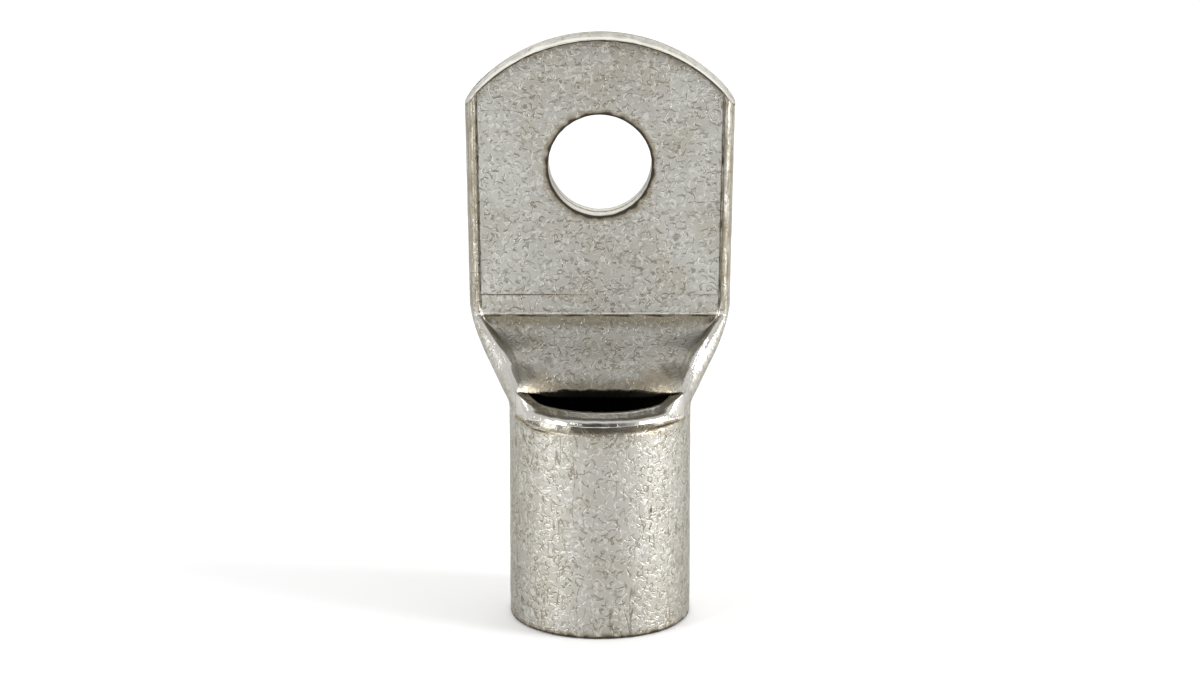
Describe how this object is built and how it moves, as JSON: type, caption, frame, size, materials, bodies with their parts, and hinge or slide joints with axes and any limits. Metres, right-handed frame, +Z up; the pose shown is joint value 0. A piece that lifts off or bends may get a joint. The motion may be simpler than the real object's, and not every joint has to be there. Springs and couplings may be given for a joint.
{
  "type": "cable lug",
  "caption": "Tubular crimp cable lug in tinned copper, with a round-ended flat palm, a stud hole and a pushed-in inspection slit across the neck",
  "frame": {"origin": "middle of the barrel's mouth, which is the middle of the bottom of the box round the part", "axes": "+Z runs up the barrel to the palm's round end, +Y faces out of the palm's flat contact face, the inspection slit faces -Y"},
  "size_m": [0.029, 0.0195, 0.062],
  "materials": {
    "tinned_copper": "satin"
  },
  "bodies": {
    "root": {"cable_lug": "tinned_copper"}
  },
  "joints": []
}
